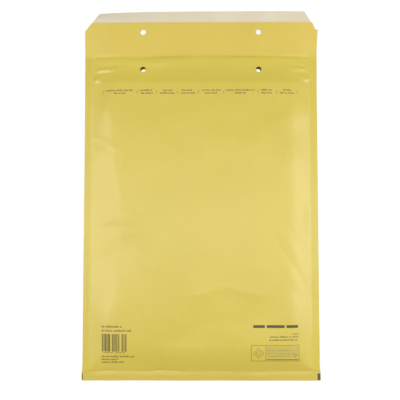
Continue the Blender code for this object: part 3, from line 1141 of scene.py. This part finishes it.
# %% The whole bubble tree
def bubble_tree():
    tree, given = new_tree("bubbles_on_film", (
        ("Film", "Geometry"), ("Columns", "Int"), ("Rows", "Int"), ("Width", "Float"), ("Length", "Float"),
        ("Shift", "Float"), ("Centre Y", "Float"), ("Radius", "Float"), ("Side", "Float"),
        ("Least Room", "Float"), ("Material", "Material")))
    hit = ray_to_film(tree, given)
    copies = add_node(tree, "GeometryNodeInstanceOnPoints", {
        "Points": staggered_lattice(tree, given, hit), "Instance": low_blister(tree, given)})
    real = add_node(tree, "GeometryNodeRealizeInstances", {"Geometry": copies.outputs[0]})
    joined = add_node(tree, "GeometryNodeJoinGeometry")
    tree.links.new(stood_on_film(tree, given, hit, real.outputs[0]), joined.inputs[0])
    tree.links.new(given["Film"], joined.inputs[0])
    painted = add_node(tree, "GeometryNodeSetMaterial", {
        "Geometry": joined.outputs[0], "Material": given["Material"]})
    add_node(tree, "NodeGroupOutput", {"Geometry": painted.outputs[0]})
    return tree


bubbles = bubble_tree()
print("nodes in the bubble tree:", len(bubbles.nodes))

# %% [markdown]
# The sleeve of film
#
# The lattice is counted from the origin, as the dimples in the paper are, so that every dimple has
# its bubble under it. Its columns and rows are as many as fit on the film. Each layer goes through
# the tree once, and the two are then joined, because the lining is one piece, open at the mouth.

# %% Grow the bubbles and join the layers
bubble_radius = 5 * mm
least_blister = 0.9 * mm
pitch, row_pitch = bubble_pitch * mm, bubble_row_pitch * mm
columns_each_side = int((film_high.x - bubble_radius) / pitch)
first_row = 2 * math.ceil((film_low.y + bubble_radius) / row_pitch / 2)
last_row = math.floor((film_high.y - bubble_radius) / row_pitch)
bubble_sizes = {
    "Columns": 2 * columns_each_side + 1, "Rows": last_row - first_row + 1,
    "Width": 2 * columns_each_side * pitch, "Length": (last_row - first_row) * row_pitch,
    "Shift": pitch / 2, "Centre Y": (first_row + last_row) / 2 * row_pitch,
    "Radius": bubble_radius, "Least Room": least_blister, "Material": film}
print("lattice of bubbles:", bubble_sizes["Columns"], "x", bubble_sizes["Rows"], "on each layer")

layers = []
for name, height, room, side in (
        ("front_film", sleeve_top, lambda x, y: lining_top(x, y) - sleeve_top(x, y), 1.0),
        ("rear_film", sleeve_under, lambda x, y: sleeve_under(x, y) - lining_under(x, y), -1.0)):
    layer = film_layer(name, height, room)
    grow = layer.modifiers.new("bubbles", "NODES")
    grow.node_group = bubbles
    set_inputs(grow, {**bubble_sizes, "Side": side})
    layers.append(settle(layer, sharp_degrees=60))

lining_mesh = joined_mesh("bubble_film_sleeve", [layer.data for layer in layers])
for layer in layers:
    bpy.data.objects.remove(layer)
lining = settle(add_piece("bubble_film_sleeve", lining_mesh, film), sharp_degrees=60)

# %% [markdown]
# Press ink
#
# Envelopes are printed with rubber plates and a thin water-based ink. It is matt, and it thins out
# where the paper took less of it. An image would need a file, so the ink is a plain material on
# thin geometry of its own. A noise of 0.8 mm blends two tones for the uneven cover.

# %% Ink material
def press_ink(name, hex_value, hex_thin):
    material, tree, shader = new_material(name)
    place = add_node(tree, "ShaderNodeTexCoord").outputs["Object"]
    cover = add_node(tree, "ShaderNodeTexNoise", {"Vector": place, "Scale": 1 / (0.8 * mm), "Detail": 3.0})
    thin = add_node(tree, "ShaderNodeMapRange", {"Value": cover.outputs["Fac"], 1: 0.45, 2: 0.72})
    tone = add_node(tree, "ShaderNodeMix", {0: thin.outputs[0], 6: colour(hex_value), 7: colour(hex_thin)},
                    data_type="RGBA")
    tree.links.new(tone.outputs[2], shader.inputs["Base Color"])
    rough = add_node(tree, "ShaderNodeMapRange", {"Value": cover.outputs["Fac"], 3: 0.50, 4: 0.62})
    tree.links.new(rough.outputs[0], shader.inputs["Roughness"])
    return material


# %% [markdown]
# Marks of the print
#
# The print is generic and says nothing: small blocks where a line of small print would stand, ticks,
# stripes, a plain boxed panel and a few plain signs. Text objects would need words, and these have
# none. Every mark is one flat bar, so all of it is three lists of bars, one for each ink. A bar is
# its centre, its width and height, and its turn. All are millimetres and radians.

# %% Blocks in a row
fine_print, solid_ink, tint = [], [], []


def words(start, end, y, height, seed):
    """Blocks the size of letters, in groups the length of words, from start to end along one line."""
    dice = random.Random(seed)
    letter = 0.62 * height
    x = start
    while x < end - letter:
        for _ in range(dice.randint(2, 8)):
            if x + letter > end:
                break
            tall = height * dice.choice((0.72, 0.72, 1.0))
            fine_print.append((x + letter / 2, y + (tall - height) / 2, letter, tall, 0.0))
            x += letter * 1.3
        x += letter * 0.8


# %% [markdown]
# Where the marks stand
#
# A press prints all of it in one pass, so the marks keep their places to each other on every
# envelope. The places are measured from the middle of the envelope. Lengths of lines are listed, as
# they follow no rule, and what fills them is drawn from dice with fixed seeds, so that each run
# gives the same blocks.

# %% Row under the mouth
# Eight groups of two short lines, as (start, end) of each, and a tick before, between and after
groups = [
    ((-102.1, -71.2), (-92.5, -79.7)), ((-64.8, -50.9), (-63.7, -50.9)),
    ((-40.3, -29.6), (-43.5, -27.5)), ((-20.0, -7.2), (-21.1, -5.1)), ((1.3, 21.5), (4.5, 18.3)),
    ((26.9, 57.7), (36.4, 49.2)), ((64.1, 76.9), (64.1, 76.9)), ((87.5, 97.1), (84.3, 100.2))]
group_lines = (109.8, 106.7)
for number, group in enumerate(groups):
    for line, (start, end) in enumerate(group):
        words(start, end, group_lines[line], 1.7, seed=number * 2 + line)
for x in (-104.6, -67.8, -47.3, -24.7, -2.3, 24.5, 60.9, 80.7, 102.7):
    solid_ink.append((x, 107.8, 0.42, 3.0, -0.12))
print("blocks in the row under the mouth:", len(fine_print))

# %% Bottom left: lines and a block of stripes
for end, y, height, seed in ((-81.2, -139.5, 2.2, 31), (-71.8, -143.7, 2.2, 32), (-69.7, -170.9, 1.8, 33),
                             (-86.4, -173.9, 1.8, 34), (-80.2, -177.0, 1.8, 35)):
    words(-104.1, end, y, height, seed)
stripe_module = 0.29
stripes = random.Random(8)
for x, group_end in ((-103.8, -95.6), (-92.9, -85.0), (-82.6, -77.6)):
    while x < group_end:
        width = stripe_module * stripes.choice((1, 1, 2, 2, 3))
        solid_ink.append((x + width / 2, -156.5, width, 18.4, 0.0))
        x += width + stripe_module * stripes.choice((1, 1, 2))
for start in (-102.0, -89.5):
    words(start, start + 10, -166.8, 1.2, seed=36)
print("bars of solid ink so far:", len(solid_ink))

# %% Bottom right: three heavy bars, lines and a boxed panel
for left, right in ((54.5, 66.5), (68.5, 87.0), (89.0, 101.1)):
    solid_ink.append(((left + right) / 2, -139.4, right - left, 2.9, 0.0))
for start, y, height, seed in ((95.7, -147.1, 1.5, 41), (71.8, -150.0, 1.6, 42), (70.7, -153.2, 1.6, 43)):
    words(start, 101.9, y, height, seed)

panel_left, panel_split, panel_right = 52.3, 67.6, 102.2
panel_top, panel_foot = -158.9, -175.5
panel_x, panel_y = (panel_left + panel_right) / 2, (panel_top + panel_foot) / 2
line = 0.5
for y in (panel_top, panel_foot):
    fine_print.append((panel_x, y, panel_right - panel_left + line, line, 0.0))
for x in (panel_left, panel_split, panel_right):
    fine_print.append((x, panel_y, line, panel_top - panel_foot - line, 0.0))
field_x, field_width = (panel_split + panel_right) / 2, panel_right - panel_split - 1.6
tint.append((field_x, panel_y + 1.7, field_width, 10.6, 0.0))
fine_print.append((field_x, panel_foot + 1.5, field_width, 1.0, 0.0))
for i in range(3):
    words(panel_split + 2, panel_right - 8, panel_foot + 4.6 + 3.4 * i, 0.5, seed=51 + i)
print("panel, mm:", round(panel_right - panel_left, 1), "x", round(panel_top - panel_foot, 1))

# %% Plain signs of straight sides, and the marks at the cut edges
# Centre, size, number of sides and turn of each sign
signs = ((59.9, panel_y, 5.4, 4, 0.0), (59.9, panel_y, 2.6, 4, 0.0),
         (98.2, panel_foot + 6.0, 2.3, 3, 0.5236))
for centre_x, centre_y, size, sides, turn in signs:
    for i in range(sides):
        middle = turn + math.tau * (i + 0.5) / sides
        to_side = size * math.cos(math.pi / sides)
        fine_print.append((centre_x + to_side * math.cos(middle), centre_y + to_side * math.sin(middle),
                           2 * size * math.sin(math.pi / sides), line, middle + math.pi / 2))

# The machine finds the end of each envelope by these two marks
solid_ink.append((-half_width / mm + 0.25, -192.4, 1.0, 6.8, 0.0))
solid_ink.append((half_width / mm - 1.2, -192.8, 3.1, 6.9, 0.0))
print("bars of fine print, ink and tint:", len(fine_print), len(solid_ink), len(tint))

# %% [markdown]
# Print by Geometry Nodes
#
# Ink has to follow every crease of the paper. Flat bars laid over it would sink in or hover. So each
# long bar is split into short steps, and a mesh with one point for each step carries its size and
# turn into Geometry Nodes. They put a flat tile on every point, let the tiles of a bar grow
# together, and drop them on the paper by casting rays. Last they give the ink its thickness: the
# bars are raised, and a flipped copy closes them underneath.

# %% Tiles, and how they drape
def flat_bars(tree, given):
    """A tile for each point, turned and sized. Tiles that lie end to end grow into one bar."""
    tile = add_node(tree, "GeometryNodeMeshGrid", {
        "Size X": 1.0, "Size Y": 1.0, "Vertices X": 2, "Vertices Y": 2})
    size = add_node(tree, "GeometryNodeInputNamedAttribute", {"Name": "size"}, data_type="FLOAT_VECTOR")
    turn = add_node(tree, "GeometryNodeInputNamedAttribute", {"Name": "turn"}, data_type="FLOAT_VECTOR")
    copies = add_node(tree, "GeometryNodeInstanceOnPoints", {
        "Points": given["Places"], "Instance": tile.outputs["Mesh"], "Scale": size.outputs["Attribute"]})
    turned = add_node(tree, "GeometryNodeRotateInstances", {
        "Instances": copies.outputs["Instances"], "Rotation": turn.outputs["Attribute"]})
    real = add_node(tree, "GeometryNodeRealizeInstances", {"Geometry": turned.outputs["Instances"]})
    return add_node(tree, "GeometryNodeMergeByDistance", {
        "Geometry": real.outputs[0], "Distance": given["Weld"]}).outputs[0]


def draped_on_paper(tree, given, bars):
    """Each point drops along a ray to the paper under it."""
    paper_shape = add_node(tree, "GeometryNodeObjectInfo", {"Object": given["Paper"]})
    spot = add_node(tree, "GeometryNodeInputPosition").outputs[0]
    own = add_node(tree, "ShaderNodeSeparateXYZ", {0: spot}).outputs
    above = add_node(tree, "ShaderNodeCombineXYZ", {"X": own["X"], "Y": own["Y"], "Z": 0.1})
    hit = add_node(tree, "GeometryNodeRaycast", {
        "Target Geometry": paper_shape.outputs["Geometry"], "Source Position": above.outputs[0],
        "Ray Direction": (0, 0, -1), "Ray Length": 0.2})
    on_paper = add_node(tree, "ShaderNodeSeparateXYZ", {0: hit.outputs["Hit Position"]}).outputs
    final = add_node(tree, "ShaderNodeCombineXYZ", {"X": own["X"], "Y": own["Y"], "Z": on_paper["Z"]})
    return add_node(tree, "GeometryNodeSetPosition", {
        "Geometry": bars, "Position": final.outputs[0]}).outputs[0]


# %% [markdown]
# The whole print tree
#
# The bars are thickened only after they have been draped. Draping thick bars would press their
# undersides on the paper too, and they would end up flat. Raising all faces of a bar together keeps
# it one body without inner walls, and a last merge joins it to its underside.

# %% The whole print tree
def print_tree():
    tree, given = new_tree("print_on_paper", (
        ("Places", "Geometry"), ("Paper", "Object"), ("Ink Thickness", "Float"), ("Weld", "Float"),
        ("Material", "Material")))
    draped = draped_on_paper(tree, given, flat_bars(tree, given))
    up = add_node(tree, "ShaderNodeCombineXYZ", {"Z": given["Ink Thickness"]})
    raised = add_node(tree, "GeometryNodeExtrudeMesh", {
        "Mesh": draped, "Offset": up.outputs[0], "Offset Scale": 1.0, "Individual": False}, mode="FACES")
    underside = add_node(tree, "GeometryNodeFlipFaces", {"Mesh": draped})
    joined = add_node(tree, "GeometryNodeJoinGeometry")
    tree.links.new(raised.outputs["Mesh"], joined.inputs[0])
    tree.links.new(underside.outputs[0], joined.inputs[0])
    closed = add_node(tree, "GeometryNodeMergeByDistance", {
        "Geometry": joined.outputs[0], "Distance": given["Weld"]})
    painted = add_node(tree, "GeometryNodeSetMaterial", {
        "Geometry": closed.outputs[0], "Material": given["Material"]})
    add_node(tree, "NodeGroupOutput", {"Geometry": painted.outputs[0]})
    return tree


printing = print_tree()
print("nodes in the print tree:", len(printing.nodes))

# %% [markdown]
# Printing the envelope
#
# Three inks print three pieces: fine lines, which the small plates leave pale, solid ink, and a
# tinted field. They could be one piece with three materials, but apart each keeps its own plain
# material. The ink is drawn 0.05 mm thick, more than real ink, so that it stands clear of the paper.

# %% Print the three inks
ink_step = 1.6
ink_thickness = 0.05 * mm
ink_weld = 1e-6


def in_short_steps(bars):
    """Long bars become rows of short ones, end to end, so that each can follow the paper."""
    short = []
    for x, y, width, height, angle in bars:
        across, along = math.ceil(width / ink_step), math.ceil(height / ink_step)
        for i in range(across):
            for j in range(along):
                from_x = ((i + 0.5) / across - 0.5) * width
                from_y = ((j + 0.5) / along - 0.5) * height
                short.append((x + from_x * math.cos(angle) - from_y * math.sin(angle),
                              y + from_x * math.sin(angle) + from_y * math.cos(angle),
                              width / across, height / along, angle))
    return short


def printed(name, bars, material):
    bars = in_short_steps(bars)
    mesh = bpy.data.meshes.new(name)
    mesh.from_pydata([(x * mm, y * mm, 0) for x, y, _, _, _ in bars], [], [])
    sizes = [(width * mm, height * mm, 1.0) for _, _, width, height, _ in bars]
    turns = [(0, 0, angle) for _, _, _, _, angle in bars]
    for label, values in (("size", sizes), ("turn", turns)):
        mesh.attributes.new(label, "FLOAT_VECTOR", "POINT").data.foreach_set("vector", np.ravel(values))
    piece = add_piece(name, mesh, material)
    drape = piece.modifiers.new("print", "NODES")
    drape.node_group = printing
    set_inputs(drape, {"Paper": envelope, "Ink Thickness": ink_thickness, "Weld": ink_weld,
                       "Material": material})
    return settle(piece)


prints = [printed("printed_fine_lines", fine_print, press_ink("fine_press_ink", "82743A", "9B8B45")),
          printed("printed_solid_ink", solid_ink, press_ink("solid_press_ink", "4D492F", "6A633C")),
          printed("printed_tint", tint, press_ink("tinted_press_ink", "C3B055", "CDBB5D"))]

# %% [markdown]
# Fitting the looks to the frame
#
# Each piece takes the place of one solid, and the print rides on top. A row with no joints has one
# body, `root`, and every piece rides on it.

# %% Ride and replace
for piece, node, slot in ((envelope, "kraft_envelope", "kraft"), (lining, "bubble_lining", "film"),
                          (adhesive, "adhesive_strip", "adhesive"), (liner, "release_liner", "liner")):
    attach(piece, "root")
    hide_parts(node)
for piece in prints:
    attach(piece, "root")

# %% [markdown]
# Floor
#
# The background is a plain white. A brighter lamp would burn the envelope out with it, so the floor
# glows white by itself, but only for rays that come straight from the camera or through the film. It
# keeps a little plain diffuse, so that the envelope still has a soft shadow on it. For all other
# rays it is plain matt, and so it adds no light to the object.

# %% Floor
floor_reach = 4.0
floor_drop = 0.3 * mm


def studio_floor():
    material, tree, shader = new_material("matt_white_floor")
    shader.inputs["Base Color"].default_value = colour("F2F2F2")
    shader.inputs["Roughness"].default_value = 0.9
    path = add_node(tree, "ShaderNodeLightPath").outputs
    seen = add_node(tree, "ShaderNodeMath", {0: path["Is Camera Ray"], 1: path["Is Transmission Ray"]},
                    operation="MAXIMUM")
    shade = add_node(tree, "ShaderNodeBsdfDiffuse", {"Color": (0.10, 0.10, 0.10, 1)})
    glow = add_node(tree, "ShaderNodeEmission", {"Color": (1, 1, 1, 1), "Strength": 0.94})
    lit = add_node(tree, "ShaderNodeAddShader", {0: shade.outputs[0], 1: glow.outputs[0]})
    mixed = add_node(tree, "ShaderNodeMixShader", {
        0: seen.outputs[0], 1: shader.outputs[0], 2: lit.outputs[0]})
    tree.links.new(mixed.outputs[0], tree.nodes["Material Output"].inputs["Surface"])
    return material


floor_edit = bmesh.new()
bmesh.ops.create_grid(floor_edit, x_segments=1, y_segments=1, size=floor_reach)
bmesh.ops.translate(floor_edit, verts=floor_edit.verts[:], vec=(0, 0, -floor_drop))
floor = add_piece("floor", new_mesh("floor", floor_edit), studio_floor())

# %% [markdown]
# Lights and surroundings
#
# A long soft box over the envelope makes the satin sheen, and its ends decide where the sheen stops.
# Two at the sides catch the slopes beside the seams. The room around gives a weak even light, and
# is plain white where the camera looks past the floor.

# %% Three soft boxes
def soft_box(name, place, aim, size, power):
    light = bpy.data.lights.new(name, "AREA")
    light.shape = "RECTANGLE"
    light.size, light.size_y = size
    light.energy = power
    lamp = bpy.data.objects.new(name, light)
    lamp.location = place
    lamp.rotation_euler = (Vector(aim) - Vector(place)).to_track_quat("-Z", "Y").to_euler()
    bpy.context.scene.collection.objects.link(lamp)


soft_box("overhead_soft_box", (0.0, -0.03, 1.05), (0, -0.03, 0), (1.3, 0.38), 3.86)
soft_box("right_soft_box", (0.69, -0.03, 0.57), (0.06, -0.03, 0), (0.50, 0.46), 3.25)
soft_box("left_soft_box", (-0.62, -0.03, 0.63), (-0.05, -0.03, 0), (0.50, 0.46), 2.6)

# %% The room around
world = bpy.data.worlds.new("studio")
bpy.context.scene.world = world
world.use_nodes = True
sky = world.node_tree
sky.nodes.clear()
room_light = add_node(sky, "ShaderNodeBackground", {"Color": (1, 1, 1, 1), "Strength": 0.33})
white = add_node(sky, "ShaderNodeBackground", {"Color": (1, 1, 1, 1), "Strength": 1.0})
to_camera = add_node(sky, "ShaderNodeLightPath").outputs["Is Camera Ray"]
either = add_node(sky, "ShaderNodeMixShader", {0: to_camera, 1: room_light.outputs[0], 2: white.outputs[0]})
add_node(sky, "ShaderNodeOutputWorld", {"Surface": either.outputs[0]})

# %% [markdown]
# Camera
#
# The picture was taken from straight above, from about 0.6 m, with the camera a touch below the
# middle and tilted by three degrees. A camera can be set by eye, but near a flat object a degree
# shows. These values come from fitting the envelope's corners, holes and edges to their places in
# the picture.

# %% Camera
camera_data = bpy.data.cameras.new("camera")
camera_data.lens = 50.71
camera_data.sensor_width = 36.0
camera = bpy.data.objects.new("camera", camera_data)
bpy.context.scene.collection.objects.link(camera)
tilt, pan, roll = (math.radians(v) for v in (2.989, 0.358, -0.057))
aimed = Matrix.Rotation(tilt, 4, "X") @ Matrix.Rotation(pan, 4, "Y") @ Matrix.Rotation(roll, 4, "Z")
camera.matrix_world = Matrix.Translation((2.8 * mm, -38.4 * mm, 605.2 * mm)) @ aimed
bpy.context.scene.camera = camera
bpy.context.scene.view_settings.view_transform = "Standard"
print("camera above the floor, mm:", round(camera.location.z / mm, 1))
